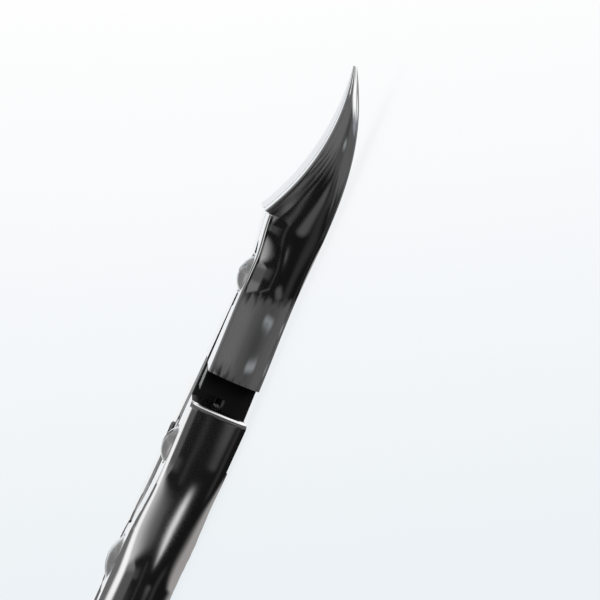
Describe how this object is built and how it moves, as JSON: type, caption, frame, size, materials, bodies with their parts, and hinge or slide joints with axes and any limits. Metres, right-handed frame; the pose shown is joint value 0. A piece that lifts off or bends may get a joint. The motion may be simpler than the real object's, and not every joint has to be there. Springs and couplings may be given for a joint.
{
  "type": "nail nippers",
  "caption": "Double-action nail nippers in polished steel: concave jaws linked to bowed handles by slotted pivot screws, sprung open by crossed leaf springs.",
  "frame": {"origin": "middle of the tool's length and width, on the plane that its back lies on", "axes": "+Y along the tool towards the jaws' tip, +X the opening direction, +Z along the pivots towards the screw heads"},
  "size_m": [0.0304, 0.1492, 0.0095],
  "materials": {
    "jaw_steel": "mirror-polished stainless steel",
    "handle_steel": "mirror-polished stainless steel",
    "screw_steel": "polished stainless steel, slotted heads",
    "spring_steel": "satin spring steel"
  },
  "bodies": {
    "handle_right": {"handle_right": "handle_steel", "spring_screw_right": "screw_steel"},
    "handle_left": {"handle_left": "handle_steel", "handle_screw": "screw_steel", "link_screw_left": "screw_steel", "spring_screw_left": "screw_steel"},
    "jaw_right": {"jaw_right": "jaw_steel", "jaw_screw": "screw_steel", "link_screw_right": "screw_steel"},
    "jaw_left": {"jaw_left": "jaw_steel"},
    "leaf_right": {"leaf_spring_right": "spring_steel"},
    "leaf_left": {"leaf_spring_left": "spring_steel"}
  },
  "joints": [
    {"name": "handle_hinge", "type": "hinge", "parent": "handle_right", "child": "handle_left", "pos_m": [0, 0.00235, 0.0043], "axis": [0, 0, -1], "range_deg": [0, 18.56], "stiffness_Nm_per_rad": 1.1, "springref_deg": 28.65},
    {"name": "link_hinge", "type": "hinge", "parent": "handle_right", "child": "jaw_right", "pos_m": [0.0062, 0.02045, 0.0043], "axis": [0, 0, -1], "range_deg": [0, 16.43]},
    {"name": "jaw_hinge", "type": "hinge", "parent": "jaw_right", "child": "jaw_left", "pos_m": [0, 0.04415, 0.0043], "axis": [0, 0, 1], "range_deg": [0, 14.3]},
    {"name": "leaf_bend_right", "type": "hinge", "parent": "handle_right", "child": "leaf_right", "pos_m": [0.00879, -0.05145, 0.0043], "axis": [0, 0, 1], "range_deg": [0, 5.05]},
    {"name": "leaf_bend_left", "type": "hinge", "parent": "handle_left", "child": "leaf_left", "pos_m": [-0.00879, -0.05145, 0.0043], "axis": [0, 0, -1], "range_deg": [0, 5.05]}
  ],
  "couplings": [
    {"joint": "link_hinge", "follows": "handle_hinge", "ratio": 0.885},
    {"joint": "jaw_hinge", "follows": "handle_hinge", "ratio": 0.77},
    {"joint": "leaf_bend_right", "follows": "handle_hinge", "ratio": 0.272},
    {"joint": "leaf_bend_left", "follows": "handle_hinge", "ratio": 0.272}
  ]
}
